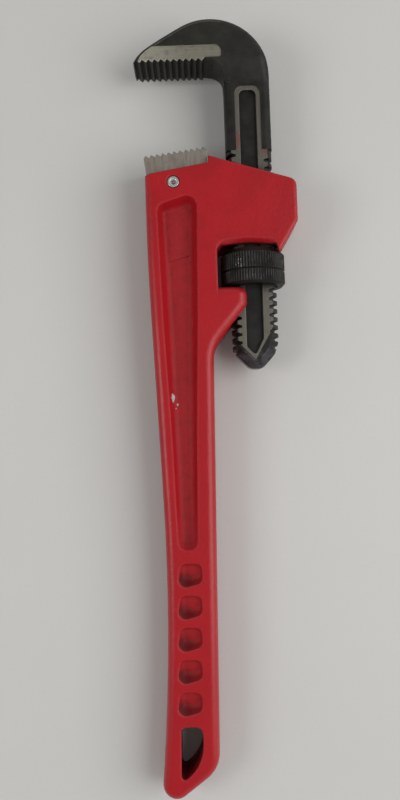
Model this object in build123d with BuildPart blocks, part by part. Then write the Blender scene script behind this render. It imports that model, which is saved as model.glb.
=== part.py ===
"""Pipe wrench, 18 inch class, lying on its side.

Drawn from the shank axis and the middle of the adjusting nut: +X to the back of the
housing, +Y along the shank towards the hook, +Z out of the face that is seen.
All lengths in millimetres.
"""
import os
from math import atan2, cos, pi, radians, sin, sqrt

from build123d import *

os.makedirs("parts", exist_ok=True)

# Overall reach from the shank axis and the nut; a length beyond the width, and a cut past a face
NOSE_X = -64.0
BACK_X = 25.2
CROWN_Y = 141.1
TOE_Y = -291.6
BEYOND = 100.0
OVERCUT = 5.0

# Adjusting nut, its window with a sloped upper lip, and thread
NUT_RADIUS = 18.1
NUT_LOW = -11.3
NUT_HIGH = 9.0
NUT_LOW_CHAMFER = 1.6
NUT_HIGH_CHAMFER = 3.0
NUT_GROOVE = 0.7
NUT_GROOVE_Y = -3.0
KNURL_COUNT = 72
KNURL_DEPTH = 0.5
PITCH = 4.62
CREST_R = 13.1
THREAD_DEPTH = 2.0
CREST_LAND = 2.0
ROOT_LAND = 1.2
THREAD_GAP = 0.3
THREAD_ARC = 140
FLANK_SLOPE = (PITCH - CREST_LAND - ROOT_LAND) / 2 / THREAD_DEPTH
NUT_THREAD_TURNS = 7
NUT_ROUND_AT = 11.7
NUT_ROUND_R = 1.98
NUT_CLEARANCE = 0.7
WINDOW_LOW = -12.3
WINDOW_HIGH = 10.5
LIP_DEPTH = 3.0
LIP_DRAFT = 42

# Hook jaw
HEAD_HALF = 12.5
PANEL_HALF = 12.1
SHANK_HALF_W = 13.0
BAR_HALF = 8.6
FLAT_HALF = 8.0
RECESS_HALF = 6.0
CROWN_R = 33.7
CROWN_SWEEP = 118
THROAT_R = 8.5
THROAT_Y = 108.8
THROAT_SWEEP = 70
BROW_END = (-56.0, 125.8)
NOSE_TIP = (NOSE_X, 117.6)
NOSE_FOOT = (-63.4, 116.2)
HOOK_EDGE_R = 4.0
EDGE_RUNOUT = 0.5
RUNOUT_LENGTH = 9.0
HOOK_TEETH = ((-23.8, 116.0), (-62.3, 116.0))
BAR_TOP = 106.0
THREAD_TOP = 66.0
SHANK_END = -57.8
END_BEVEL = 4.5

THREAD_FIRST = -12
THREAD_LAST = 14
SHANK_OUTLINE = [
    (-CREST_R, -48.0, 0),
    (-3.5, SHANK_END, 6.5),
    (3.5, SHANK_END, 6.5),
    (10.5, -50.0, 6.5),
    (CREST_R, -42.0, 0),
    (CREST_R, THREAD_TOP + 4, 0),
    (-CREST_R, THREAD_TOP + 4, 0),
]
HEAD_SIDE = [
    (THREAD_TOP - 5, BAR_HALF, 0),
    (BAR_TOP, BAR_HALF, 12),
    (BAR_TOP + 11, HEAD_HALF, 12),
    (CROWN_Y + 9, HEAD_HALF, 0),
    (CROWN_Y + 9, 30, 0),
    (THREAD_TOP - 5, 30, 0),
]

PANEL_OUTLINE = [
    (-72.0, 125.1, 0),
    (-14.1, 125.1, 4),
    (-14.1, 118.0, 1.2),
    (-23.2, 118.0, 0),
    (-23.2, 110.0, 0),
    (-72.0, 110.0, 0),
]
FLAT_OUTLINE = [
    (-7.2, THREAD_TOP - 5, 0),
    (-7.2, 102.7, 4.5),
    (7.2, 102.7, 4.5),
    (7.2, THREAD_TOP - 5, 0),
]
RECESS_OUTLINE = [
    (-4.8, 100.2, 3),
    (4.8, 100.2, 3),
    (4.3, -41.0, 1.5),
    (-0.6, -50.6, 1.5),
    (-5.4, -45.6, 1.5),
]

# Teeth of both jaws
TOOTH_COUNT = 11
TOOTH_DEPTH = 1.7
TOOTH_LEAN = 0.35

# Handle casting
HOUSING_HALF = 14.5
GRIP_HALF = 12.0
WEB_HALF = 6.0
PAD_RISE = 0.5
WALL_DRAFT = 22
WEB_FLOOR_R = 3.5
POCKET_FLOOR_R = 2.6
GRIP_EDGE_R = 4.6
HOUSING_EDGE_R = 1.6
CHANNEL_LEFT = -17.7
CHANNEL_RIGHT = 13.4
FORK_LEFT = -14.1
FORK_REACH = 60.0
CHANNEL_HALF = 9.1
CHANNEL_CORNER_R = 1.5

# Heel jaw and its pin
HEEL_HALF = 11.0
TENON_HALF = 5.25
TENON_LEFT = -54.7
TENON_RIGHT = -32.3
TENON_Y = 41.5
TENON_ROOT_Y = 58.0
HEEL_TEETH = ((-59.8, 63.1), (-24.4, 67.6))
HEEL_SEAT = ((-58.3, 51.58), (-24.3, 57.07))
SLOT_TALL = 30.0
SLOT_GAP = 0.3
PIN_X = -43.4
PIN_Y = 47.0
PIN_R = 3.5
PIN_GAP = 0.05
PIN_DIMPLE_R = 1.9
PIN_DIMPLE_DEPTH = 1.6
PIN_DIMPLE_TAPER = 40
PIN_SUNK = 0.2
PIN_BEVEL = 0.5

# Springs in the shank channel
LEAF_THICK = 0.8
LEAF_HALF = 5.0
LEAF_GAP = 0.1
LEAF_BELLY = -13.4
LEAF_PATH = [
    (CHANNEL_LEFT + LEAF_GAP + LEAF_THICK / 2, 54.5),
    (CHANNEL_LEFT + LEAF_GAP + LEAF_THICK / 2, 46.5),
    (LEAF_BELLY - LEAF_THICK / 2, 39.0),
    (LEAF_BELLY - LEAF_THICK / 2, 33.0),
    (-16.2, 22.5),
]
LEAF_BENDS = [8, 8, 8]
COIL_GAP = 0.25
COIL_Y = 36.0
COIL_BORE_R = 4.7
COIL_BORE_END = -27.0
COIL_R = 3.3
COIL_WIRE = 1.3
COIL_TURNS = 5
RIVET_Y = 51.0
RIVET_R = 1.6
RIVET_HEAD_R = 2.8
RIVET_HEAD_H = 0.4
RIVET_DEPTH = 7.0
RIVET_SHORT = 0.5
RIVET_HEAD_TAPER = 20

SHANK_X = -(NOSE_X + BACK_X) / 2
AXIS_Y = -(CROWN_Y + TOE_Y) / 2
MID_Z = NUT_RADIUS

FACE = Plane(origin=(SHANK_X, AXIS_Y, MID_Z))
SIDE = Plane(origin=(SHANK_X, AXIS_Y, MID_Z), x_dir=(0, 1, 0), z_dir=(1, 0, 0))
AXIAL = Plane(origin=(SHANK_X, AXIS_Y, MID_Z), x_dir=(1, 0, 0), z_dir=(0, 1, 0))

# Casting seen from the face: x, y and the corner radius
HANDLE_OUTLINE = [
    (-59.3, 51.4, 0),
    (-24.0, 57.1, 0),
    (-23.5, 61.6, 0),
    (BACK_X, 46.5, 5),
    (BACK_X, 23.4, 4),
    (14.2, 5.6, 0),
    (12.8, 10.8, 0),
    (-2.5, 12.5, 60),
    (-20.5, 10.9, 4),
    (-20.5, WINDOW_LOW, 0),
    (-4.7, WINDOW_LOW, 4.5),
    (-4.7, -22.6, 4),
    (-24.0, -45.7, 20),
    (-28.7, -276.1, 17),
    (-61.5, -300.1, 7.6),
    (-52.5, -202.0, 1170),
    (-59.3, 5.0, 1230),
]
LIP_OUTLINE = [
    (-20.3, 0, 0),
    (12.4, 0, 0),
    (12.4, 13.0, 1.5),
    (-2.5, 14.7, 60),
    (-20.3, 13.1, 5),
]
HANDLE_SIDE = [
    (70, HOUSING_HALF, 0),
    (-32, HOUSING_HALF, 250),
    (-92, GRIP_HALF, 250),
    (-310, GRIP_HALF, 0),
    (-310, -GRIP_HALF, 0),
    (-92, -GRIP_HALF, 250),
    (-32, -HOUSING_HALF, 250),
    (70, -HOUSING_HALF, 0),
]
WEB_OUTLINE = [
    (-53.1, 34.3, 5.5),
    (-30.5, 41.4, 6),
    (-35.6, -158.2, 6),
    (-48.2, -158.2, 6),
]
PAD_OUTLINE = [(-56, 1.6), (-27, 9.4), (-27, 44), (-56, 36)]
HANG_HOLE = [
    (-49.0, -252.2, 2.2),
    (-37.3, -252.2, 4),
    (-37.3, -272.7, 22),
    (-49.9, -282.5, 2),
]
POCKET_COUNT = 5
POCKET_PITCH = 17.35
POCKET_DRIFT = -0.58
POCKET_DEPTH = 4.2
POCKET_TILT = 15
POCKET_LEAN = 8
POCKET_MID = (-40.9, -170.0)
POCKET = [
    (-47.3, -163.8, 4),
    (-34.4, -163.8, 4),
    (-34.4, -174.8, 4),
    (-47.3, -176.8, 4),
]


def at(x, y, z=0):
    """Point of the shared frame from shank axis coordinates."""
    return (SHANK_X + x, AXIS_Y + y, MID_Z + z)


def rounded(corners):
    """Closed outline from x, y, radius corners."""
    points = [(x, y) for x, y, r in corners]
    radii = [r for x, y, r in corners]
    FilletPolyline(*points, radius=radii, close=True)


def tooth_row(start, end, depth):
    """Saw teeth from start to end; the tips lie on the line, the roots to its right by depth."""
    dx = (end[0] - start[0]) / TOOTH_COUNT
    dy = (end[1] - start[1]) / TOOTH_COUNT
    length = sqrt(dx * dx + dy * dy)
    inward = (dy / length * depth, -dx / length * depth)
    row = []
    for i in range(TOOTH_COUNT):
        row.append((start[0] + dx * i + inward[0], start[1] + dy * i + inward[1]))
        row.append((start[0] + dx * (i + TOOTH_LEAN), start[1] + dy * (i + TOOTH_LEAN)))
    row.append((end[0] + inward[0], end[1] + inward[1]))
    return row


def sunk_tool(corners, level, floor, draft, floor_r):
    """Drafted hollow that is cut into the face, from level down to floor; its foot is round or sharp."""
    with BuildPart() as tool:
        with BuildSketch(FACE.offset(level)):
            with BuildLine():
                rounded(corners)
            make_face()
        extrude(amount=-(level - floor), taper=draft)
        if floor_r:
            fillet(tool.faces().sort_by(Axis.Z)[0].edges(), floor_r)
    return tool.part


def thread_groove(side):
    """One turn of the thread on one edge of the shank, as an arc tilted by the lead."""
    lead = atan2(PITCH, 2 * pi * (CREST_R - THREAD_DEPTH / 2))
    half_arc = radians(THREAD_ARC / 2)
    tilted = Vector(0, cos(lead), side * sin(lead))
    outward = Vector(side, 0, 0)
    start = outward * cos(half_arc) - tilted.cross(outward) * sin(half_arc)
    over = 1.0
    top = (PITCH - CREST_LAND) / 2 + FLANK_SLOPE * over
    with BuildPart() as groove:
        with BuildSketch(Plane(origin=at(0, 0), x_dir=start, z_dir=start.cross(tilted))):
            Polygon(
                (CREST_R - THREAD_DEPTH, -ROOT_LAND / 2),
                (CREST_R + over, -top),
                (CREST_R + over, top),
                (CREST_R - THREAD_DEPTH, ROOT_LAND / 2),
                align=None,
            )
        revolve(axis=Axis(at(0, 0), tilted), revolution_arc=THREAD_ARC)
    return groove.part


def edge_corner(side):
    """Corner that rounds an edge of the bar, drawn from the edge into the bar."""
    half = HOOK_EDGE_R / 2
    with Locations((half - 0.5, side * (half - 0.5))):
        Rectangle(HOOK_EDGE_R + 1, HOOK_EDGE_R + 1)
    with Locations((HOOK_EDGE_R, side * HOOK_EDGE_R)):
        Circle(HOOK_EDGE_R, mode=Mode.SUBTRACT)


def wound_path(centre, base, radius, rise, turns):
    """Right-hand winding about the normal of base, as two tangent arcs for each quarter turn."""
    steps = turns * 4
    points = []
    tangents = []
    for i in range(steps + 1):
        angle = pi / 2 * i
        around = base.x_dir * cos(angle) + base.y_dir * sin(angle)
        along = base.y_dir * cos(angle) - base.x_dir * sin(angle)
        points.append(Vector(centre) + around * radius + base.z_dir * (rise * i / 4))
        tangents.append((along * (2 * pi * radius) + base.z_dir * rise).normalized())
    for i in range(steps):
        chord = points[i + 1] - points[i]
        both = tangents[i] + tangents[i + 1]
        opening = 2 * (1 - tangents[i].dot(tangents[i + 1]))
        lead_in = chord.dot(both)
        reach = (sqrt(lead_in ** 2 + opening * chord.dot(chord)) - lead_in) / opening
        knee = points[i] + tangents[i] * reach
        next_knee = points[i + 1] - tangents[i + 1] * reach
        middle = (knee + next_knee) * 0.5
        TangentArc(points[i], middle, tangent=tangents[i])
        TangentArc(middle, points[i + 1], tangent=next_knee - knee)


# Casting: I-beam handle, housing over the nut, fork below it
web_tool = sunk_tool(WEB_OUTLINE, HOUSING_HALF, WEB_HALF, WALL_DRAFT, WEB_FLOOR_R)
lip_tool = sunk_tool(LIP_OUTLINE, HOUSING_HALF, HOUSING_HALF - LIP_DEPTH, LIP_DRAFT, 0)
pocket_tools = []
for i in range(POCKET_COUNT):
    sunk = at(POCKET_MID[0] + POCKET_DRIFT * i, POCKET_MID[1] - POCKET_PITCH * i, GRIP_HALF)
    tilted = (-sin(radians(POCKET_LEAN)), -sin(radians(POCKET_TILT)), 1)
    with BuildPart() as pocket:
        with BuildSketch(Plane(origin=sunk, x_dir=(1, 0, 0), z_dir=tilted)) as mouth:
            with BuildLine():
                rounded([(x - POCKET_MID[0], y - POCKET_MID[1], r) for x, y, r in POCKET])
            make_face()
        extrude(amount=-POCKET_DEPTH, taper=WALL_DRAFT)
        fillet(pocket.faces().sort_by(Axis.Z)[0].edges(), POCKET_FLOOR_R)
        extrude(mouth.sketch, amount=OVERCUT, taper=-WALL_DRAFT)
    pocket_tools.append(pocket.part)

with BuildPart() as handle:
    with BuildSketch(FACE):
        with BuildLine():
            rounded(HANDLE_OUTLINE)
        make_face()
    extrude(amount=HOUSING_HALF, both=True)
    with BuildSketch(SIDE):
        with BuildLine():
            rounded(HANDLE_SIDE)
        make_face()
    extrude(amount=BEYOND, both=True, mode=Mode.INTERSECT)
    for s in (1, -1):
        grip_edge = handle.edges().sort_by_distance(at(-55.5, -110, s * GRIP_HALF))[0]
        fillet(grip_edge, GRIP_EDGE_R)
        back_edge = handle.edges().sort_by_distance(at(5, 53, s * HOUSING_HALF))[0]
        fillet(back_edge, HOUSING_EDGE_R)
    for tool in [web_tool, lip_tool] + pocket_tools:
        add(tool, mode=Mode.SUBTRACT)
        add(tool.mirror(FACE), mode=Mode.SUBTRACT)
    with BuildSketch(FACE):
        Polygon(*PAD_OUTLINE, align=None)
    extrude(amount=WEB_HALF + PAD_RISE, both=True)
    with BuildSketch(FACE):
        with BuildLine():
            rounded(HANG_HOLE)
        make_face()
    extrude(amount=HOUSING_HALF, both=True, mode=Mode.SUBTRACT)
    # Shank channel through the housing, open fork below the nut
    with BuildSketch(AXIAL):
        with Locations(((CHANNEL_LEFT + CHANNEL_RIGHT) / 2, 0)):
            RectangleRounded(CHANNEL_RIGHT - CHANNEL_LEFT, 2 * CHANNEL_HALF, CHANNEL_CORNER_R)
    extrude(amount=BEYOND, mode=Mode.SUBTRACT)
    with BuildSketch(AXIAL):
        with Locations((FORK_LEFT + FORK_REACH / 2, 0)):
            RectangleRounded(FORK_REACH, 2 * CHANNEL_HALF, CHANNEL_CORNER_R)
    extrude(amount=-BEYOND, mode=Mode.SUBTRACT)
    # Round clearance for the nut
    with BuildSketch(AXIAL.offset(WINDOW_LOW)):
        Circle(NUT_RADIUS + NUT_CLEARANCE)
    extrude(amount=WINDOW_HIGH - WINDOW_LOW, mode=Mode.SUBTRACT)
    # Slot and pin hole for the heel jaw
    with BuildSketch(FACE):
        with Locations(((TENON_LEFT + TENON_RIGHT) / 2, TENON_Y - SLOT_GAP + SLOT_TALL / 2)):
            Rectangle(TENON_RIGHT - TENON_LEFT + 2 * SLOT_GAP, SLOT_TALL)
    extrude(amount=TENON_HALF + SLOT_GAP, both=True, mode=Mode.SUBTRACT)
    with BuildSketch(FACE):
        with Locations((PIN_X, PIN_Y)):
            Circle(PIN_R + PIN_GAP)
    extrude(amount=HOUSING_HALF, both=True, mode=Mode.SUBTRACT)
    # Blind bores for the coil spring and the rivet
    with BuildSketch(SIDE.offset(COIL_BORE_END)):
        with Locations((COIL_Y, 0)):
            Circle(COIL_BORE_R)
    extrude(amount=CHANNEL_LEFT - COIL_BORE_END + 1, mode=Mode.SUBTRACT)
    with BuildSketch(SIDE.offset(CHANNEL_LEFT - RIVET_DEPTH)):
        with Locations((RIVET_Y, 0)):
            Circle(RIVET_R + PIN_GAP)
    extrude(amount=RIVET_DEPTH + 1, mode=Mode.SUBTRACT)
handle.part.label = "handle"
export_step(handle.part, "parts/handle.step")

# Hook jaw: forged head, bar with ground flats, threaded end
right_groove = thread_groove(1)
left_groove = thread_groove(-1)
groove_tools = []
for i in range(THREAD_FIRST, THREAD_LAST):
    groove_tools.append(right_groove.moved(Location((0, PITCH * i, 0))))
    groove_tools.append(left_groove.moved(Location((0, PITCH * (i + 0.5), 0))))

with BuildPart() as hook_jaw:
    with BuildSketch(FACE):
        with BuildLine():
            rounded(SHANK_OUTLINE)
        make_face()
    extrude(amount=FLAT_HALF, both=True)
    for s in (1, -1):
        end_edge = hook_jaw.edges().sort_by_distance(at(0, SHANK_END, s * FLAT_HALF))[0]
        chamfer(end_edge, END_BEVEL)
    with BuildSketch(AXIAL.offset(SHANK_END - 1)):
        Circle(CREST_R)
    extrude(amount=BEYOND + THREAD_TOP, mode=Mode.INTERSECT)
    add(groove_tools, mode=Mode.SUBTRACT)
    with BuildSketch(FACE):
        with BuildLine():
            back = Line((SHANK_HALF_W, THREAD_TOP), (SHANK_HALF_W, CROWN_Y - CROWN_R))
            crown_mid = (SHANK_HALF_W - CROWN_R, CROWN_Y - CROWN_R)
            crown = CenterArc(crown_mid, CROWN_R, 0, CROWN_SWEEP)
            brow = TangentArc(crown @ 1, BROW_END, tangent=crown % 1)
            nose = TangentArc(brow @ 1, NOSE_TIP, tangent=brow % 1)
            row = tooth_row(*HOOK_TEETH, TOOTH_DEPTH)
            row.reverse()
            throat = CenterArc((-SHANK_HALF_W - THROAT_R, THROAT_Y), THROAT_R, THROAT_SWEEP, -THROAT_SWEEP)
            Polyline(nose @ 1, NOSE_FOOT, *row, throat @ 0)
            Polyline(throat @ 1, (-SHANK_HALF_W, THREAD_TOP), back @ 0)
        make_face()
    extrude(amount=HEAD_HALF + OVERCUT, both=True)
    with BuildSketch(SIDE):
        with BuildLine():
            rounded(HEAD_SIDE)
        make_face()
        mirror(about=Plane.XZ)
    extrude(amount=BEYOND, both=True, mode=Mode.SUBTRACT)
    for s in (1, -1):
        back_edge = hook_jaw.edges().sort_by_distance(at(SHANK_HALF_W, 85, s * BAR_HALF))[0]
        fillet(back_edge, HOOK_EDGE_R)
        # Rounded inner edge of the bar, which runs out below the throat
        corner = at(-SHANK_HALF_W, THREAD_TOP - 1, s * BAR_HALF)
        with BuildSketch(Plane(origin=corner, x_dir=(1, 0, 0), z_dir=(0, 1, 0))):
            edge_corner(s)
        extrude(amount=BAR_TOP - THREAD_TOP, mode=Mode.SUBTRACT)
        corner = at(-SHANK_HALF_W, BAR_TOP - 1, s * BAR_HALF)
        leaving = (-EDGE_RUNOUT, 1, s * EDGE_RUNOUT)
        with BuildSketch(Plane(origin=corner, x_dir=(1, EDGE_RUNOUT, 0), z_dir=leaving)):
            edge_corner(s)
        extrude(amount=RUNOUT_LENGTH, mode=Mode.SUBTRACT)
    # Ground panel beside the teeth, ground flat and sunk groove along the shank
    for s in (1, -1):
        with BuildSketch(FACE.offset(s * PANEL_HALF)):
            with BuildLine():
                rounded(PANEL_OUTLINE)
            make_face()
        extrude(amount=s * OVERCUT, mode=Mode.SUBTRACT)
        with BuildSketch(FACE.offset(s * FLAT_HALF)):
            with BuildLine():
                rounded(FLAT_OUTLINE)
            make_face()
        extrude(amount=s * OVERCUT, mode=Mode.SUBTRACT)
        with BuildSketch(FACE.offset(s * RECESS_HALF)):
            with BuildLine():
                rounded(RECESS_OUTLINE)
            make_face()
        extrude(amount=s * OVERCUT, mode=Mode.SUBTRACT)
hook_jaw.part.label = "hook_jaw"
export_step(hook_jaw.part, "parts/hook_jaw.step")

# Adjusting nut: knurled ring with an inner thread that follows the shank
nut_minor = CREST_R - THREAD_DEPTH + THREAD_GAP
groove_start = PITCH * (0.5 - (NUT_THREAD_TURNS + 1) / 2)
nut_axis = at(0, groove_start)
with BuildPart() as nut_groove:
    with BuildLine() as nut_helix:
        wound_path(nut_axis, AXIAL, NUT_ROUND_AT, PITCH, NUT_THREAD_TURNS)
    with BuildSketch(Plane(origin=nut_helix.line @ 0, z_dir=nut_helix.line % 0)):
        Circle(NUT_ROUND_R)
    sweep(path=nut_helix.line)

with BuildPart() as adjusting_nut:
    with BuildSketch(FACE):
        Polygon(
            (nut_minor, NUT_LOW),
            (NUT_RADIUS - NUT_LOW_CHAMFER, NUT_LOW),
            (NUT_RADIUS, NUT_LOW + NUT_LOW_CHAMFER),
            (NUT_RADIUS, NUT_GROOVE_Y - NUT_GROOVE),
            (NUT_RADIUS - NUT_GROOVE, NUT_GROOVE_Y),
            (NUT_RADIUS, NUT_GROOVE_Y + NUT_GROOVE),
            (NUT_RADIUS, NUT_HIGH - NUT_HIGH_CHAMFER),
            (NUT_RADIUS - NUT_HIGH_CHAMFER, NUT_HIGH),
            (nut_minor, NUT_HIGH),
            align=None,
        )
    revolve(axis=Axis(at(0, 0), (0, 1, 0)))
    add(nut_groove.part, mode=Mode.SUBTRACT)
    with BuildSketch(AXIAL.offset(NUT_LOW - 1)):
        knurl = []
        for i in range(KNURL_COUNT):
            for r, half in ((NUT_RADIUS, 0), (NUT_RADIUS - KNURL_DEPTH, 0.5)):
                angle = 2 * pi * (i + half) / KNURL_COUNT
                knurl.append((r * cos(angle), r * sin(angle)))
        Polygon(*knurl, align=None)
    extrude(amount=NUT_HIGH - NUT_LOW + 2, mode=Mode.INTERSECT)
adjusting_nut.part.label = "adjusting_nut"
export_step(adjusting_nut.part, "parts/adjusting_nut.step")

# Heel jaw: toothed block on the seat, tenon in the slot
with BuildPart() as heel_jaw:
    with BuildSketch(FACE):
        with BuildLine():
            row = tooth_row(*HEEL_TEETH, TOOTH_DEPTH)
            Polyline(HEEL_SEAT[0], *row, HEEL_SEAT[1], close=True)
        make_face()
    extrude(amount=HEEL_HALF, both=True)
    with BuildSketch(FACE):
        Polygon(
            (TENON_LEFT, TENON_Y),
            (TENON_RIGHT, TENON_Y),
            (TENON_RIGHT, TENON_ROOT_Y),
            (TENON_LEFT, TENON_ROOT_Y),
            align=None,
        )
    extrude(amount=TENON_HALF, both=True)
    with BuildSketch(FACE):
        with Locations((PIN_X, PIN_Y)):
            Circle(PIN_R + PIN_GAP)
    extrude(amount=HEEL_HALF, both=True, mode=Mode.SUBTRACT)
heel_jaw.part.label = "heel_jaw"
export_step(heel_jaw.part, "parts/heel_jaw.step")

# Cross pin with dimpled ends
with BuildPart() as heel_jaw_pin:
    with BuildSketch(FACE):
        with Locations((PIN_X, PIN_Y)):
            Circle(PIN_R)
    extrude(amount=HOUSING_HALF - PIN_SUNK, both=True)
    chamfer(heel_jaw_pin.edges().filter_by(GeomType.CIRCLE), PIN_BEVEL)
    for s in (1, -1):
        with BuildSketch(FACE.offset(s * (HOUSING_HALF - PIN_SUNK))):
            with Locations((PIN_X, PIN_Y)):
                Circle(PIN_DIMPLE_R)
        extrude(amount=-s * PIN_DIMPLE_DEPTH, taper=PIN_DIMPLE_TAPER, mode=Mode.SUBTRACT)
heel_jaw_pin.part.label = "heel_jaw_pin"
export_step(heel_jaw_pin.part, "parts/heel_jaw_pin.step")

# Leaf spring that bears on the inner edge of the shank
with BuildPart() as flat_spring:
    with BuildSketch(FACE):
        with BuildLine():
            FilletPolyline(*LEAF_PATH, radius=LEAF_BENDS)
        trace(line_width=LEAF_THICK)
    extrude(amount=LEAF_HALF, both=True)
    with BuildSketch(SIDE.offset(CHANNEL_LEFT)):
        with Locations((RIVET_Y, 0)):
            Circle(RIVET_R + PIN_GAP)
    extrude(amount=LEAF_THICK * 2, mode=Mode.SUBTRACT)
flat_spring.part.label = "flat_spring"
export_step(flat_spring.part, "parts/flat_spring.step")

# Rivet through the upper end of the leaf
with BuildPart() as spring_rivet:
    with BuildSketch(SIDE.offset(CHANNEL_LEFT - RIVET_DEPTH + RIVET_SHORT)):
        with Locations((RIVET_Y, 0)):
            Circle(RIVET_R)
    extrude(amount=RIVET_DEPTH - RIVET_SHORT + LEAF_THICK + LEAF_GAP)
    with BuildSketch(SIDE.offset(CHANNEL_LEFT + LEAF_THICK + LEAF_GAP)):
        with Locations((RIVET_Y, 0)):
            Circle(RIVET_HEAD_R)
    extrude(amount=RIVET_HEAD_H, taper=RIVET_HEAD_TAPER)
spring_rivet.part.label = "spring_rivet"
export_step(spring_rivet.part, "parts/spring_rivet.step")

# Coil spring in its bore, behind the belly of the leaf
coil_length = LEAF_BELLY - LEAF_THICK - 2 * COIL_GAP - COIL_WIRE - COIL_BORE_END
coil_start = COIL_BORE_END + COIL_GAP + COIL_WIRE / 2
coil_rise = coil_length / COIL_TURNS
with BuildPart() as coil_spring:
    with BuildLine() as coil_path:
        wound_path(at(coil_start, COIL_Y), SIDE, COIL_R, coil_rise, COIL_TURNS)
    with BuildSketch(Plane(origin=coil_path.line @ 0, z_dir=coil_path.line % 0)):
        Circle(COIL_WIRE / 2)
    sweep(path=coil_path.line)
coil_spring.part.label = "coil_spring"
export_step(coil_spring.part, "parts/coil_spring.step")
wire_points = [coil_path.line @ (i / 200) for i in range(201)]
gaps = [(p - q).length for i, p in enumerate(wire_points) for q in wire_points[i + 20:]]
print("least gap of the coil to itself", min(gaps) - COIL_WIRE)
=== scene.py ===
import bpy
import math
from mathutils import Matrix, Vector


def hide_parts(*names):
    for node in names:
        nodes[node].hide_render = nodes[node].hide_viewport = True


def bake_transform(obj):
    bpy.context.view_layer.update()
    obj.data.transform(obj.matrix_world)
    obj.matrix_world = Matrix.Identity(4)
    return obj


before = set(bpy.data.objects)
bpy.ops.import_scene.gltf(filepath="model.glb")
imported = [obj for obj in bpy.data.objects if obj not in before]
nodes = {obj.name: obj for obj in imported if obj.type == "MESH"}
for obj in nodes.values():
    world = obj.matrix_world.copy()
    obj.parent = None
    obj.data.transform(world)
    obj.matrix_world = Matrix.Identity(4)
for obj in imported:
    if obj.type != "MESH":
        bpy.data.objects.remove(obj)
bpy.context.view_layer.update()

# Centre of the nut on the shank's axis, in metres in the shared frame.
# All places in the finishes and the springs are counted from it.
SHANK_X = 0.0194
AXIS_Y = 0.07525
MID_Z = 0.0181
MM_PER_METRE = 1000

# Red enamel of the handle
RED_DARK = (0.334, 0.0056, 0.0098, 1)
RED_LIGHT = (0.412, 0.0084, 0.0138, 1)
RED_CORNER_SHADE = (0.085, 0.0025, 0.004, 1)
RED_EDGE = (0.48, 0.045, 0.055, 1)
RED_HOUSING_SHADE = (0.270, 0.0060, 0.0095, 1)
RED_THIN = (0.215, 0.0050, 0.0080, 1)
RED_BLOOM = (0.46, 0.030, 0.036, 1)
RED_SHADE = (0.090, 0.0015, 0.0025, 1)
RED_SHEEN = (0.56, 0.125, 0.160, 1)
RED_SPECK = (0.19, 0.012, 0.014, 1)
RED_SCUFF = (0.52, 0.12, 0.12, 1)
RED_SEAM = (0.20, 0.008, 0.010, 1)
CHIP_DARK = (0.34, 0.31, 0.29, 1)
CHIP_LIGHT = (0.62, 0.60, 0.57, 1)

# Black oxide and ground steel of the hook jaw
OXIDE_DARK = (0.0054, 0.0050, 0.0039, 1)
OXIDE_LIGHT = (0.0186, 0.0175, 0.0138, 1)
OXIDE_HEAD = (0.036, 0.036, 0.031, 1)
OXIDE_SHADE = (0.0050, 0.0048, 0.0035, 1)
OXIDE_TIP_SHEEN = (0.062, 0.057, 0.066, 1)
OXIDE_RUBBED = (0.13, 0.13, 0.125, 1)
TIP_WEAR_AND_GLINT = (0.25, 0.245, 0.24, 1)
STRIP_DARK = (0.116, 0.108, 0.089, 1)
STRIP_LIGHT = (0.200, 0.187, 0.157, 1)
PANEL_DARK = (0.225, 0.208, 0.160, 1)
PANEL_LIGHT = (0.350, 0.328, 0.262, 1)
PANEL_PALE = (0.500, 0.475, 0.395, 1)
GROUND_STAIN = (0.13, 0.105, 0.080, 1)
RED_SMEAR = (0.30, 0.05, 0.05, 1)
OIL_AND_SHADOW = (0.020, 0.018, 0.015, 1)

# Nut, heel jaw, pin, springs
NUT_DARK = (0.0036, 0.0033, 0.0026, 1)
NUT_LIGHT = (0.0102, 0.0092, 0.0070, 1)
NUT_TIP = (0.105, 0.099, 0.088, 1)
NUT_BARE_AND_GLINT = (0.46, 0.45, 0.42, 1)
NUT_SHADE = (0.004, 0.004, 0.004, 1)
HEEL_DARK = (0.220, 0.193, 0.160, 1)
HEEL_LIGHT = (0.385, 0.343, 0.290, 1)
HEEL_STAIN = (0.20, 0.17, 0.14, 1)
HEEL_STREAK = (0.135, 0.118, 0.095, 1)
HEEL_TEETH = (0.24, 0.225, 0.21, 1)
HEEL_LOW_DARK = (0.10, 0.085, 0.075, 1)
PIN_DARK = (0.64, 0.63, 0.60, 1)
PIN_LIGHT = (0.84, 0.83, 0.80, 1)
PIN_SHADE = (0.06, 0.055, 0.05, 1)
SPRING_DARK = (0.07, 0.07, 0.075, 1)
SPRING_LIGHT = (0.15, 0.145, 0.14, 1)

# Table and room
TABLE_DARK = (0.568, 0.562, 0.538, 1)
TABLE_LIGHT = (0.613, 0.607, 0.583, 1)
TABLE_SPECK = (0.42, 0.42, 0.41, 1)
TABLE_FAR = (0.55, 0.55, 0.54, 1)
ROOM_ABOVE = (0.26, 0.26, 0.26, 1)
WALL_BRIGHT = (0.68, 0.685, 0.695, 1)
WALL_DIM = (0.46, 0.46, 0.46, 1)

# Row of grip pockets: its top and lean, the pitch and start of one pocket,
# the right side of the row, and the slant of the painted shade in each
POCKETS_TOP = -0.1638
POCKETS_LEAN = 0.0334
POCKET_PITCH = 0.01735
POCKET_START = 0.0008
POCKETS_RIGHT = -0.0345
POCKET_SLANT = 27.0

# How strongly painted shade shows in pockets and on the hang hole's wall, and painted shade in
# corners in the open and in pockets
POCKET_SHADE = 0.88
HOLE_SHADE = 0.70
CORNER_OPEN = 0.92
CORNER_POCKET = 0.40

# Slope of the hang hole's end, and of the heel jaw's tooth row
HOLE_SLOPE = 0.778
HEEL_SLOPE = 0.127

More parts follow.
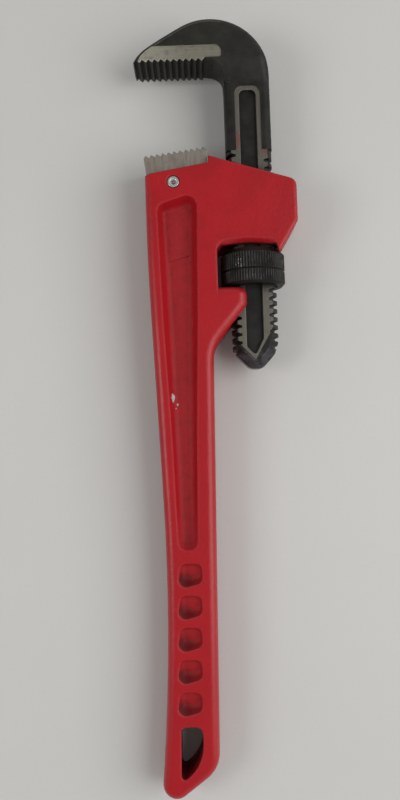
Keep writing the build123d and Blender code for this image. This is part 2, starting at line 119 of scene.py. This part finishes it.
# Marks on the face: x, y, radius, how much taller than wide
CHIPS = (
    (-0.0476, -0.0728, 0.00085, 2.7),
    (-0.0452, -0.0766, 0.00050, 1.4),
    (-0.0462, -0.0788, 0.00028, 1.0),
)
SMEARS = (
    (-0.0062, 0.0720, 0.0015, 2.6),
    (0.0092, 0.0660, 0.0014, 2.2),
)
# Place of the painted glints on the nut's knurl
KNURL_GLINT_SPOT = (-0.0076, 0.0000, 0.0024, 1.4)
SPOT_RAGGED = 2.6
SPOT_SOFT = 0.12

# Ground strips on the shank end in a point: its x, and the slope of its two sides
POINT_X = -0.0006
POINT_RIGHT = 1.75
POINT_LEFT = 1.05

# Grinding and machining lines: noise that is drawn out along x or along y
DRAWN_X = (0.03, 1.0, 1.0)
DRAWN_Y = (1.0, 0.03, 1.0)
SCUFFS_Y = (1.0, 0.06, 1.0)
MACHINED_Y = (1.0, 0.05, 1.0)
STREAKS_Y = (1.0, 0.10, 1.0)

# Leaf spring, its bends in millimetres
LEAF_HALF_WIDTH = 0.0050
LEAF_THICKNESS = 0.0008
LEAF_EDGE = 0.00015
LEAF_TOP_MM = (-17.2, 54.5)
LEAF_BENDS_MM = (
    (-17.2, 51.0), (-17.2, 47.5), (-16.6, 45.0), (-14.4, 40.4),
    (-13.8, 38.2), (-13.8, 33.8), (-14.2, 31.4), (-16.0, 22.6),
)

# Coil spring in its bore
WIRE_RADIUS = 0.00065
WIRE_SIDES = 12
COIL_RADIUS = 0.0033
COIL_RISE = 0.0022
COIL_TURNS = 5
COIL_STEPS = 28
COIL_X = -0.0261
COIL_Y = 0.0360

MERGE_DISTANCE = 1e-6
SMOOTH_BELOW_DEGREES = 35

# Table: it turns about a line below the nut and rises towards the handle's end
TABLE_SIZE = 30.0
TABLE_RISE = 0.0060
TABLE_RUN = 0.285
TABLE_TURN_Y = 0.0745
TABLE_GLOW = 0.55

# Lamps: place, size and watts, both aimed at the origin
WINDOW_LIGHT = ((0.82, -0.04, 0.90), 1.0, 9.7)
ROOM_LIGHT = ((-0.75, -0.05, 0.75), 0.45, 2.9)

# Camera
CAMERA_PLACE = (-0.0139, -0.01605, 0.4436)
CAMERA_RIGHT = (0.99939, -0.0349, 0.0)
CAMERA_BACK = (-0.0014, -0.0401, 0.9992)
CAMERA_LENS_MM = 33.75
CAMERA_SENSOR_MM = 36.0
CAMERA_NEAR = 0.01


class Graph:
    """A node tree, with short words for the nodes that go into it."""

    def __init__(self, tree):
        self.tree = tree

    def put(self, kind, **settings):
        """Adds a shader node with its settings."""
        made = self.tree.nodes.new(kind)
        for key, value in settings.items():
            setattr(made, key, value)
        return made

    def feed(self, socket, value):
        """Gives a socket a number, a colour or another node's output."""
        if isinstance(value, bpy.types.NodeSocket):
            self.tree.links.new(value, socket)
        else:
            socket.default_value = value

    def calc(self, operation, *terms):
        """One sum on numbers or outputs."""
        made = self.put("ShaderNodeMath", operation=operation)
        for socket, term in zip(made.inputs, terms):
            self.feed(socket, term)
        return made.outputs[0]

    def plus(self, first, second):
        """Sum of two."""
        return self.calc("ADD", first, second)

    def minus(self, first, second):
        """First less second."""
        return self.calc("SUBTRACT", first, second)

    def times(self, first, *more):
        """Product of all."""
        for term in more:
            first = self.calc("MULTIPLY", first, term)
        return first

    def most(self, first, *more):
        """Largest of all."""
        for term in more:
            first = self.calc("MAXIMUM", first, term)
        return first

    def size(self, value):
        """Value without its sign."""
        return self.calc("ABSOLUTE", value)

    def distance(self, first, second):
        """Length of the two together, as the sides of a right angle."""
        squares = self.plus(self.times(first, first), self.times(second, second))
        return self.calc("SQRT", squares)

    def step(self, value, none, full):
        """0 up to none, 1 from full on, smooth between; full may be the smaller one."""
        made = self.put("ShaderNodeMapRange", interpolation_type="SMOOTHSTEP")
        self.feed(made.inputs["Value"], value)
        ends = (none, full, 0.0, 1.0) if none < full else (full, none, 1.0, 0.0)
        for name, number in zip(("From Min", "From Max", "To Min", "To Max"), ends):
            made.inputs[name].default_value = number
        return made.outputs["Result"]

    def between(self, value, low, high, soft):
        """1 between low and high, with soft ends."""
        rise = self.step(value, none=low - soft, full=low + soft)
        fall = self.step(value, none=high + soft, full=high - soft)
        return self.times(rise, fall)

    def mix(self, kind, amount, first, second):
        """Goes from first to second as the amount goes from 0 to 1."""
        made = self.put("ShaderNodeMix", data_type=kind)
        self.feed(made.inputs["Factor"], amount)
        self.feed(made.inputs["A"], first)
        self.feed(made.inputs["B"], second)
        return made.outputs["Result"]

    def mix_colour(self, amount, first, second):
        """Colour between two."""
        return self.mix("RGBA", amount, first, second)

    def mix_number(self, amount, first, second):
        """Number between two."""
        return self.mix("FLOAT", amount, first, second)

    def cover(self, under, colour, mask, strength=None):
        """Lays a colour over another one where the mask says so."""
        amount = mask if strength is None else self.times(mask, strength)
        return self.mix_colour(amount, under, colour)


class Finish(Graph):
    """A procedural material on object coordinates."""

    def __init__(self, name):
        self.material = bpy.data.materials.new(name)
        self.material.use_nodes = True
        super().__init__(self.material.node_tree)
        self.inputs = self.tree.nodes["Principled BSDF"].inputs
        self.where = self.put("ShaderNodeTexCoord").outputs["Object"]

    def give(self, name, value):
        """Gives one of the shader's own inputs its value."""
        self.feed(self.inputs[name], value)

    def place(self):
        """The three coordinates, counted from the nut's centre."""
        parts = self.put("ShaderNodeSeparateXYZ")
        self.feed(parts.inputs[0], self.where)
        middle = (("X", SHANK_X), ("Y", AXIS_Y), ("Z", MID_Z))
        return [self.minus(parts.outputs[axis], zero) for axis, zero in middle]

    def grain(self, scale, detail=3.0, rough=0.55, stretch=None):
        """Noise with its scale in features per metre."""
        where = self.where
        if stretch:
            drawn = self.put("ShaderNodeMapping")
            self.feed(drawn.inputs["Vector"], where)
            drawn.inputs["Scale"].default_value = stretch
            where = drawn.outputs["Vector"]
        made = self.put("ShaderNodeTexNoise")
        self.feed(made.inputs["Vector"], where)
        made.inputs["Scale"].default_value = scale
        made.inputs["Detail"].default_value = detail
        made.inputs["Roughness"].default_value = rough
        return made.outputs["Fac"]

    def centred(self, noise, strength):
        """Noise about zero."""
        return self.times(self.minus(noise, 0.5), strength)

    def bumps(self, height, strength, distance, normal=None):
        """Surface relief from a height."""
        made = self.put("ShaderNodeBump")
        made.inputs["Strength"].default_value = strength
        made.inputs["Distance"].default_value = distance
        self.feed(made.inputs["Height"], height)
        if normal is not None:
            self.feed(made.inputs["Normal"], normal)
        return made.outputs["Normal"]

    def rounded(self, radius):
        """Normal that rounds sharp edges."""
        made = self.put("ShaderNodeBevel", samples=6)
        made.inputs["Radius"].default_value = radius
        return made.outputs["Normal"]

    def near_edge(self, rounded):
        """1 on an edge, 0 on the plain surface."""
        cross = self.put("ShaderNodeVectorMath", operation="DOT_PRODUCT")
        self.feed(cross.inputs[0], rounded)
        self.feed(cross.inputs[1], self.put("ShaderNodeNewGeometry").outputs["Normal"])
        return self.step(cross.outputs["Value"], none=0.995, full=0.93)

    def facing_out(self, none=0.90, full=0.96):
        """1 where the surface lies flat, face up or face down."""
        parts = self.put("ShaderNodeSeparateXYZ")
        self.feed(parts.inputs[0], self.put("ShaderNodeNewGeometry").outputs["Normal"])
        return self.step(self.size(parts.outputs["Z"]), none, full)

    def hollows(self, reach):
        """1 deep in corners and pockets, 0 in the open."""
        made = self.put("ShaderNodeAmbientOcclusion", samples=8)
        made.inputs["Distance"].default_value = reach
        return self.step(made.outputs["AO"], none=0.92, full=0.30)

    def spot(self, x, y, mark, ragged):
        """Ragged spot at a mark on the face."""
        mark_x, mark_y, radius, tall = mark
        aside = self.minus(x, mark_x)
        above = self.calc("DIVIDE", self.minus(y, mark_y), tall)
        far = self.distance(aside, above)
        far = self.plus(far, self.centred(ragged, radius * SPOT_RAGGED))
        return self.step(far, none=radius * (1 + SPOT_SOFT), full=radius * (1 - SPOT_SOFT))

    def spots(self, x, y, marks, ragged):
        """All spots of a list."""
        return self.most(*[self.spot(x, y, mark, ragged) for mark in marks])


def pocket_masks(paint, x, y, z, skin):
    """Inside of the grip pockets, and painted shade low on the left of each."""
    down = paint.minus(POCKETS_TOP, y)
    across = paint.plus(x, paint.times(down, POCKETS_LEAN))
    pockets = paint.times(
        paint.step(paint.size(z), none=0.0119, full=0.0113),
        paint.between(down, low=-0.0010, high=0.0845, soft=0.0005),
        paint.between(across, low=-0.0490, high=-0.0335, soft=0.0004))
    row = paint.calc("DIVIDE", paint.plus(down, POCKET_START), POCKET_PITCH)
    row = paint.calc("FRACT", row)
    slant = paint.plus(row, paint.times(paint.minus(POCKETS_RIGHT, across), POCKET_SLANT))
    slant = paint.plus(slant, paint.centred(skin, strength=0.35))
    return pockets, paint.times(pockets, paint.step(slant, none=0.50, full=0.92))


def hole_mask(paint, x, y, z):
    """Wall of the hang hole, where shade is painted, up to the hole's sloped end."""
    upward = paint.minus(y, paint.times(x, HOLE_SLOPE))
    return paint.times(
        paint.between(y, low=-0.2835, high=-0.2515, soft=0.0003),
        paint.between(x, low=-0.0510, high=-0.0366, soft=0.0003),
        paint.step(paint.size(z), none=0.0118, full=0.0100),
        paint.step(upward, none=-0.2467, full=-0.2452))


def red_paint():
    """Sprayed enamel over a sand casting, chipped in one place on the face."""
    paint = Finish("red_casting_paint")
    x, y, z = paint.place()
    level = paint.size(z)
    rounded = paint.rounded(radius=0.0018)
    edge = paint.near_edge(rounded)
    deep = paint.hollows(reach=0.006)
    broad = paint.grain(scale=38.0)
    cloud = paint.grain(scale=55.0, detail=4.0, rough=0.62)
    skin = paint.grain(scale=210.0, detail=5.0, rough=0.68)
    ragged = paint.grain(scale=520.0, rough=0.6)
    sand = paint.grain(scale=620.0, rough=0.6)
    drawn = paint.grain(scale=900.0, detail=2.0, rough=0.5, stretch=SCUFFS_Y)
    speckle = paint.grain(scale=2400.0, detail=2.0)
    pockets, painted_shade = pocket_masks(paint, x, y, z, skin)
    hole = hole_mask(paint, x, y, z)

    colour = paint.mix_colour(broad, RED_DARK, RED_LIGHT)
    # Painted shade in corners and hollows, weaker inside the pockets
    corner = paint.times(deep, deep, paint.mix_number(pockets, CORNER_OPEN, CORNER_POCKET))
    colour = paint.cover(colour, RED_CORNER_SHADE, corner)
    colour = paint.cover(colour, RED_EDGE, edge, strength=0.06)

    # Painted shade: the housing darker than the rest, in soft patches
    housing_shade = paint.times(
        paint.step(y, none=-0.020, full=0.020),
        paint.step(cloud, none=0.40, full=0.64))
    colour = paint.cover(colour, RED_HOUSING_SHADE, housing_shade, strength=0.40)

    # Rougher sand skin on the sunk floors and along the middle of the sides: uneven paint
    low = paint.step(level, none=0.0090, full=0.0072)
    thin = paint.times(low, paint.step(skin, none=0.46, full=0.70))
    colour = paint.cover(colour, RED_THIN, thin, strength=0.45)
    bloom = paint.times(low, paint.step(skin, none=0.44, full=0.26))
    colour = paint.cover(colour, RED_BLOOM, bloom, strength=0.30)

    # Painted shade low on the left in each pocket and on the hang hole's wall
    painted_shade = paint.most(paint.times(painted_shade, POCKET_SHADE), paint.times(hole, HOLE_SHADE))
    colour = paint.cover(colour, RED_SHADE, painted_shade)

    # Painted sheen: paler pink on the round edges of the grip
    wear_and_sheen = paint.times(
        paint.step(y, none=-0.120, full=-0.170),
        paint.minus(1.0, paint.facing_out(none=0.40, full=0.995)),
        paint.step(level, none=0.0030, full=0.0075),
        paint.minus(1.0, paint.most(pockets, hole)),
        paint.mix_number(sand, 0.0, 0.30))
    colour = paint.cover(colour, RED_SHEEN, wear_and_sheen)

    # Fine dark specks, and thin pale scuffs along the handle
    specks = paint.step(speckle, none=0.66, full=0.76)
    colour = paint.cover(colour, RED_SPECK, specks, strength=0.22)
    scuffs = paint.times(
        paint.step(drawn, none=0.70, full=0.78),
        paint.step(broad, none=0.48, full=0.66))
    colour = paint.cover(colour, RED_SCUFF, scuffs, strength=0.18)

    # The chip, ragged and pale
    chip = paint.times(paint.spots(x, y, CHIPS, ragged), paint.step(z, none=0.0, full=0.001))
    colour = paint.cover(colour, paint.mix_colour(ragged, CHIP_DARK, CHIP_LIGHT), chip)

    # Parting line of the mould along the sides
    seam = paint.times(
        paint.between(z, low=-0.0005, high=0.0005, soft=0.0002),
        paint.minus(1.0, paint.facing_out()))
    colour = paint.cover(colour, RED_SEAM, seam, strength=0.25)
    paint.give("Base Color", colour)

    rough = paint.mix_number(sand, 0.25, 0.40)
    for mask, dull in ((low, 0.62), (edge, 0.62), (pockets, 0.66), (deep, 0.72), (chip, 0.75)):
        rough = paint.mix_number(mask, rough, dull)
    paint.give("Roughness", rough)
    paint.give("Specular IOR Level", 0.37)

    cast = paint.bumps(broad, strength=0.20, distance=0.0010, normal=rounded)
    cast = paint.bumps(sand, strength=0.55, distance=0.00025, normal=cast)
    cast = paint.bumps(paint.times(skin, low), strength=0.45, distance=0.0006, normal=cast)
    cast = paint.bumps(seam, strength=0.30, distance=0.00025, normal=cast)
    paint.give("Normal", paint.bumps(chip, strength=0.5, distance=-0.0002, normal=cast))
    return paint.material


def panel_mask(oxide, x, y, level):
    """Ground panel beside the teeth of the hook jaw."""
    beside = oxide.times(
        oxide.step(y, none=0.1125, full=0.1128),
        oxide.step(x, none=-0.0226, full=-0.0230))
    upper = oxide.times(
        oxide.step(y, none=0.1176, full=0.1179),
        oxide.step(x, none=-0.0136, full=-0.0140))
    height = oxide.between(level, low=0.0117, high=0.01225, soft=0.0001)
    return oxide.times(height, oxide.most(beside, upper))


def strip_mask(oxide, x, y, level, wave):
    """Ground strips on the shank, up to the thread and round the end of the sunk groove."""
    right = oxide.times(oxide.most(oxide.minus(x, POINT_X), 0.0), POINT_RIGHT)
    left = oxide.times(oxide.most(oxide.minus(POINT_X, x), 0.0), POINT_LEFT)
    above = oxide.minus(oxide.plus(y, wave), oxide.most(right, left))
    return oxide.times(
        oxide.between(level, low=0.0077, high=0.0083, soft=0.0001),
        oxide.step(oxide.plus(oxide.size(x), wave), none=0.0103, full=0.0097),
        oxide.step(above, none=-0.0532, full=-0.0526))


def hook_steel():
    """Black oxide forging with ground flats on both faces; thread and end stay black."""
    oxide = Finish("hook_black_and_ground_steel")
    x, y, z = oxide.place()
    level = oxide.size(z)
    rounded = oxide.rounded(radius=0.0006)
    edge = oxide.near_edge(rounded)
    deep = oxide.hollows(reach=0.004)
    mottle = oxide.grain(scale=120.0, detail=5.0, rough=0.62)
    worn = oxide.grain(scale=260.0, detail=4.0, rough=0.6)
    ragged = oxide.grain(scale=420.0)
    pits = oxide.grain(scale=1100.0)
    along_x = oxide.grain(scale=2400.0, detail=2.0, rough=0.5, stretch=DRAWN_X)
    along_y = oxide.grain(scale=2400.0, detail=2.0, rough=0.5, stretch=DRAWN_Y)
    panel = panel_mask(oxide, x, y, level)
    strips = strip_mask(oxide, x, y, level, wave=oxide.centred(worn, strength=0.0016))
    ground = oxide.times(oxide.most(panel, strips), oxide.facing_out())
    lines = oxide.mix_number(panel, along_y, along_x)
    tip = oxide.step(y, none=-0.044, full=-0.052)

    # Black oxide: greyer on the head, painted shade in hollows, painted bluish sheen at the end,
    # worn edges with painted glints at the end
    black = oxide.mix_colour(oxide.step(mottle, none=0.28, full=0.72), OXIDE_DARK, OXIDE_LIGHT)
    head = oxide.step(y, none=0.100, full=0.135)
    black = oxide.cover(black, OXIDE_HEAD, head, strength=0.25)
    # Painted shade in hollows and the sunk groove
    black = oxide.cover(black, OXIDE_SHADE, deep, strength=0.75)
    # Painted sheen: bluish patches at the shank's end
    tip_sheen = oxide.times(tip, oxide.step(worn, none=0.30, full=0.62))
    black = oxide.cover(black, OXIDE_TIP_SHEEN, tip_sheen, strength=0.75)
    # Worn edges, paler; at the shank's end brighter, as painted glints
    wear_and_sheen = oxide.times(
        edge,
        oxide.step(worn, none=0.42, full=0.64),
        oxide.mix_number(tip, 0.35, 0.8))
    black = oxide.cover(black, oxide.mix_colour(tip, OXIDE_RUBBED, TIP_WEAR_AND_GLINT), wear_and_sheen)

    # Ground steel: paler towards the nose, stained, smeared with red, with oil and painted shadow
    # where the nut runs
    strip = oxide.mix_colour(lines, STRIP_DARK, STRIP_LIGHT)
    steel = oxide.mix_colour(lines, PANEL_DARK, PANEL_LIGHT)
    nose = oxide.step(x, none=-0.030, full=-0.058)
    steel = oxide.cover(steel, PANEL_PALE, nose, strength=0.65)
    steel = oxide.mix_colour(panel, strip, steel)
    stain = oxide.step(worn, none=0.50, full=0.75)
    steel = oxide.cover(steel, GROUND_STAIN, stain, strength=0.5)
    smear = oxide.spots(x, y, SMEARS, ragged)
    steel = oxide.cover(steel, RED_SMEAR, smear, strength=0.45)
    # Oil and painted shadow on the strips in and round the nut
    oil_and_shadow = oxide.between(y, low=-0.0140, high=0.055, soft=0.0040)
    steel = oxide.cover(steel, OIL_AND_SHADOW, oil_and_shadow, strength=0.85)
    oxide.give("Base Color", oxide.mix_colour(ground, black, steel))
    oxide.give("Metallic", oxide.mix_number(ground, 0.0, 0.75))

    plain_rough = oxide.mix_number(worn, 0.38, 0.60)
    tip_rough = oxide.mix_number(worn, 0.22, 0.40)
    rough = oxide.mix_number(tip, plain_rough, tip_rough)
    oxide.give("Roughness", oxide.mix_number(ground, rough, 0.45))
    oxide.give("Specular IOR Level", 0.25)

    relief = oxide.bumps(mottle, strength=0.12, distance=0.0008, normal=rounded)
    relief = oxide.bumps(pits, strength=0.14, distance=0.0002, normal=relief)
    cuts = oxide.times(lines, ground)
    oxide.give("Normal", oxide.bumps(cuts, strength=0.12, distance=0.0001, normal=relief))
    return oxide.material


def nut_steel():
    """Black oxide with worn knurl tips, painted glints in one place, and painted shade in the
    grooves.
    """
    oxide = Finish("nut_black_steel")
    x, y, z = oxide.place()
    out = oxide.distance(x, z)
    mottle = oxide.grain(scale=110.0, detail=2.0)
    worn = oxide.grain(scale=300.0)
    fleck = oxide.grain(scale=1000.0, detail=2.0)

    colour = oxide.mix_colour(mottle, NUT_DARK, NUT_LIGHT)
    tips = oxide.times(
        oxide.step(out, none=0.01785, full=0.0181),
        oxide.step(worn, none=0.36, full=0.60))
    colour = oxide.cover(colour, NUT_TIP, tips, strength=0.54)

    # A few tips are worn down to the steel; the cluster in one place on the face is painted glint
    glint_cluster = oxide.times(
        oxide.spot(x, y, KNURL_GLINT_SPOT, worn),
        oxide.step(z, none=0.0, full=0.001))
    others = oxide.times(oxide.step(mottle, none=0.58, full=0.70), 0.4)
    bare_and_glint = oxide.times(
        oxide.most(glint_cluster, others),
        oxide.step(out, none=0.01790, full=0.0181),
        oxide.step(fleck, none=0.46, full=0.58))
    colour = oxide.cover(colour, NUT_BARE_AND_GLINT, bare_and_glint, strength=0.85)

    # Painted shade in the knurl's grooves
    colour = oxide.cover(colour, NUT_SHADE, oxide.hollows(reach=0.0015))
    oxide.give("Base Color", colour)
    oxide.give("Roughness", oxide.mix_number(worn, 0.34, 0.54))
    oxide.give("Specular IOR Level", 0.20)
    rounded = oxide.rounded(radius=0.0003)
    oxide.give("Normal", oxide.bumps(worn, strength=0.1, distance=0.0002, normal=rounded))
    return oxide.material


def heel_steel():
    """Bare machined steel, grey, streaked and slightly stained."""
    steel = Finish("heel_bare_steel")
    x, y, _ = steel.place()
    stain = steel.grain(scale=150.0, detail=4.0, rough=0.6)
    streak = steel.grain(scale=650.0, detail=2.0, rough=0.5, stretch=STREAKS_Y)
    pits = steel.grain(scale=1300.0, detail=2.0)
    lines = steel.grain(scale=1500.0, rough=0.5, stretch=MACHINED_Y)

    colour = steel.mix_colour(lines, HEEL_DARK, HEEL_LIGHT)
    stained = steel.step(stain, none=0.52, full=0.78)
    colour = steel.cover(colour, HEEL_STAIN, stained, strength=0.65)
    streaked = steel.step(streak, none=0.48, full=0.66)
    colour = steel.cover(colour, HEEL_STREAK, streaked, strength=0.36)

    # Greyer at the teeth, darker down at the housing
    upward = steel.minus(y, steel.times(x, HEEL_SLOPE))
    teeth = steel.step(upward, none=0.0680, full=0.0700)
    colour = steel.cover(colour, HEEL_TEETH, teeth, strength=0.35)
    low_dark = steel.step(upward, none=0.0598, full=0.0588)
    colour = steel.cover(colour, HEEL_LOW_DARK, low_dark, strength=0.6)

    steel.give("Base Color", colour)
    steel.give("Metallic", 0.65)
    steel.give("Roughness", steel.mix_number(stain, 0.36, 0.55))
    rounded = steel.rounded(radius=0.0004)
    relief = steel.bumps(pits, strength=0.1, distance=0.0002, normal=rounded)
    steel.give("Normal", steel.bumps(lines, strength=0.1, distance=0.0001, normal=relief))
    return steel.material


def bright_steel():
    """Turned pin and rivet steel, with painted shade down in the dimple."""
    steel = Finish("bright_pin_steel")
    lines = steel.grain(scale=1500.0, detail=2.0)
    colour = steel.mix_colour(lines, PIN_DARK, PIN_LIGHT)
    # Painted shade down in the dimple
    colour = steel.cover(colour, PIN_SHADE, steel.hollows(reach=0.0025), strength=0.9)
    steel.give("Base Color", colour)
    steel.give("Metallic", 0.9)
    steel.give("Roughness", steel.mix_number(lines, 0.20, 0.36))
    rounded = steel.rounded(radius=0.0003)
    steel.give("Normal", steel.bumps(lines, strength=0.06, distance=0.0001, normal=rounded))
    return steel.material


def spring_steel():
    """Dark oil-tempered spring steel."""
    steel = Finish("dark_spring_steel")
    haze = steel.grain(scale=500.0)
    steel.give("Base Color", steel.mix_colour(haze, SPRING_DARK, SPRING_LIGHT))
    steel.give("Metallic", 0.85)
    steel.give("Roughness", steel.mix_number(haze, 0.28, 0.42))
    steel.give("Normal", steel.bumps(haze, strength=0.05, distance=0.0001))
    return steel.material


def dress(name, finish):
    """Gives a solid its finish."""
    piece = nodes[name]
    piece.data.materials.clear()
    piece.data.materials.append(finish)


def edit_mode():
    """Opens the new piece for editing, by its edges."""
    bpy.ops.object.mode_set(mode="EDIT")
    bpy.ops.mesh.select_mode(type="EDGE")


def close_edit():
    """Turns all faces outwards and closes the piece again."""
    bpy.ops.mesh.select_all(action="SELECT")
    bpy.ops.mesh.normals_make_consistent(inside=False)
    bpy.ops.object.mode_set(mode="OBJECT")


def apply_all(piece):
    """Applies the piece's modifiers in order."""
    for name in [m.name for m in piece.modifiers]:
        bpy.ops.object.modifier_apply(modifier=name)


def finish_piece(piece, name, finish):
    """Names a piece, puts its place into its mesh and gives it its finish."""
    piece.name = name
    piece.data.name = name
    bpy.ops.object.transform_apply(location=True, rotation=True, scale=True)
    bpy.ops.object.shade_smooth_by_angle(angle=math.radians(SMOOTH_BELOW_DEGREES))
    piece.data.materials.append(finish)


def leaf_spring(finish):
    """Bent leaf in the shank channel: a strip drawn along its bends, then given its thickness."""
    bpy.ops.object.select_all(action="DESELECT")
    bpy.ops.mesh.primitive_plane_add(size=1.0, location=(0, 0, 0))
    strip = bpy.context.object
    first = LEAF_BENDS_MM[0]
    corners = ((LEAF_TOP_MM, -1), (LEAF_TOP_MM, 1), (first, -1), (first, 1))
    for corner, ((x, y), side) in zip(strip.data.vertices, corners):
        z = MID_Z + side * LEAF_HALF_WIDTH
        corner.co = (SHANK_X + x / MM_PER_METRE, AXIS_Y + y / MM_PER_METRE, z)

    # The lower end is drawn on from bend to bend
    low = AXIS_Y + first[1] / MM_PER_METRE
    edit_mode()
    bpy.ops.mesh.select_all(action="DESELECT")
    bpy.ops.object.mode_set(mode="OBJECT")
    for edge in strip.data.edges:
        heights = [strip.data.vertices[v].co.y for v in edge.vertices]
        edge.select = all(abs(height - low) < MERGE_DISTANCE for height in heights)
    bpy.ops.object.mode_set(mode="EDIT")
    for (x0, y0), (x1, y1) in zip(LEAF_BENDS_MM, LEAF_BENDS_MM[1:]):
        move = ((x1 - x0) / MM_PER_METRE, (y1 - y0) / MM_PER_METRE, 0)
        bpy.ops.mesh.extrude_region_move(TRANSFORM_OT_translate={"value": move})
    close_edit()

    smooth = strip.modifiers.new("bends", "SUBSURF")
    smooth.levels = 2
    smooth.render_levels = 2
    smooth.boundary_smooth = "PRESERVE_CORNERS"
    wall = strip.modifiers.new("thickness", "SOLIDIFY")
    wall.thickness = LEAF_THICKNESS
    wall.offset = 0.0
    corner = strip.modifiers.new("edges", "BEVEL")
    corner.width = LEAF_EDGE
    corner.segments = 2
    apply_all(strip)
    finish_piece(strip, "leaf_strip", finish)
    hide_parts("flat_spring")
    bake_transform(strip)


def coil_spring(finish):
    """Compression spring in its bore: a wire section wound about the bore's axis."""
    start = (SHANK_X + COIL_X, AXIS_Y + COIL_Y, MID_Z)
    bpy.ops.object.select_all(action="DESELECT")
    bpy.ops.mesh.primitive_circle_add(vertices=WIRE_SIDES, radius=WIRE_RADIUS, location=start)
    coil = bpy.context.object
    bpy.ops.object.mode_set(mode="EDIT")
    bpy.ops.mesh.select_all(action="SELECT")
    bpy.ops.transform.translate(value=(0, COIL_RADIUS, 0))
    bpy.ops.object.mode_set(mode="OBJECT")
    wind = coil.modifiers.new("winding", "SCREW")
    wind.axis = "X"
    wind.angle = 2 * math.pi
    wind.screw_offset = COIL_RISE
    wind.iterations = COIL_TURNS
    wind.steps = COIL_STEPS
    wind.render_steps = COIL_STEPS
    apply_all(coil)

    # Both ends of the wire are closed
    edit_mode()
    bpy.ops.mesh.select_all(action="SELECT")
    bpy.ops.mesh.remove_doubles(threshold=MERGE_DISTANCE)
    bpy.ops.mesh.select_non_manifold()
    bpy.ops.mesh.fill_holes(sides=0)
    close_edit()
    finish_piece(coil, "coil_wire", finish)
    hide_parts("coil_spring")
    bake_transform(coil)


def table_finish():
    """Pale table. Far from the wrench the lamps fall off, so there it keeps its tone by itself."""
    table = Finish("pale_table")
    x, y, _ = table.place()
    cloud = table.grain(scale=9.0, detail=4.0)
    speck = table.grain(scale=700.0, detail=2.0)
    colour = table.mix_colour(cloud, TABLE_DARK, TABLE_LIGHT)
    table.give("Base Color", table.cover(colour, TABLE_SPECK, speck, strength=0.15))
    table.give("Roughness", 0.6)
    # Only rays that show the table as a background, straight, mirrored or through glass
    path = table.put("ShaderNodeLightPath").outputs
    seen = table.most(
        path["Is Camera Ray"], path["Is Glossy Ray"], path["Is Transmission Ray"])
    far = table.times(table.step(table.distance(x, y), none=0.5, full=2.2), seen)
    table.give("Emission Color", TABLE_FAR)
    table.give("Emission Strength", table.times(far, TABLE_GLOW))
    return table.material


def table_top():
    """Table under the wrench; it tips a little so that nut and handle end both touch it."""
    bpy.ops.object.select_all(action="DESELECT")
    bpy.ops.mesh.primitive_plane_add(size=TABLE_SIZE, location=(0, 0, 0))
    top = bpy.context.object
    top.name = "table_top"
    tip = Matrix.Rotation(-math.atan2(TABLE_RISE, TABLE_RUN), 4, "X")
    rest = Vector((0, TABLE_TURN_Y, 0))
    top.matrix_world = Matrix.Translation(rest) @ tip @ Matrix.Translation(-rest)
    top.data.materials.append(table_finish())


def soft_lamp(name, place, size, watts):
    """Large square soft lamp, aimed at the origin."""
    lamp = bpy.data.lights.new(name, "AREA")
    lamp.shape = "RECTANGLE"
    lamp.size = size
    lamp.size_y = size
    lamp.energy = watts
    holder = bpy.data.objects.new(name, lamp)
    bpy.context.collection.objects.link(holder)
    holder.location = place
    holder.rotation_euler = (-Vector(place)).to_track_quat("-Z", "Y").to_euler()


def photo_camera():
    """Camera above the wrench, turned as in the photograph."""
    lens = bpy.data.cameras.new("photo_camera")
    lens.sensor_fit = "AUTO"
    lens.sensor_width = CAMERA_SENSOR_MM
    lens.lens = CAMERA_LENS_MM
    lens.clip_start = CAMERA_NEAR
    holder = bpy.data.objects.new("photo_camera", lens)
    bpy.context.collection.objects.link(holder)
    back = Vector(CAMERA_BACK).normalized()
    up = back.cross(Vector(CAMERA_RIGHT).normalized()).normalized()
    turn = Matrix((up.cross(back), up, back)).transposed().to_4x4()
    holder.matrix_world = Matrix.Translation(CAMERA_PLACE) @ turn
    bpy.context.scene.camera = holder


def soft_room():
    """Soft room: dim straight above, brighter towards the walls."""
    room = bpy.data.worlds.new("soft_room")
    bpy.context.scene.world = room
    room.use_nodes = True
    sky = Graph(room.node_tree)
    glow = sky.tree.nodes["Background"].inputs
    way = sky.put("ShaderNodeSeparateXYZ")
    sky.feed(way.inputs[0], sky.put("ShaderNodeTexCoord").outputs["Generated"])
    lift = sky.step(way.outputs["Z"], none=0.95, full=0.15)
    left = sky.step(way.outputs["X"], none=0.1, full=-0.7)
    walls = sky.mix_colour(left, WALL_BRIGHT, WALL_DIM)
    sky.feed(glow["Color"], sky.mix_colour(lift, ROOM_ABOVE, walls))
    glow["Strength"].default_value = 1.0


pin_finish = bright_steel()
spring_finish = spring_steel()
dress("handle", red_paint())
dress("hook_jaw", hook_steel())
dress("adjusting_nut", nut_steel())
dress("heel_jaw", heel_steel())
dress("heel_jaw_pin", pin_finish)
dress("spring_rivet", pin_finish)
leaf_spring(spring_finish)
coil_spring(spring_finish)

table_top()
soft_lamp("window_light", *WINDOW_LIGHT)
soft_lamp("room_light", *ROOM_LIGHT)
photo_camera()
soft_room()
bpy.context.scene.view_settings.view_transform = "Standard"
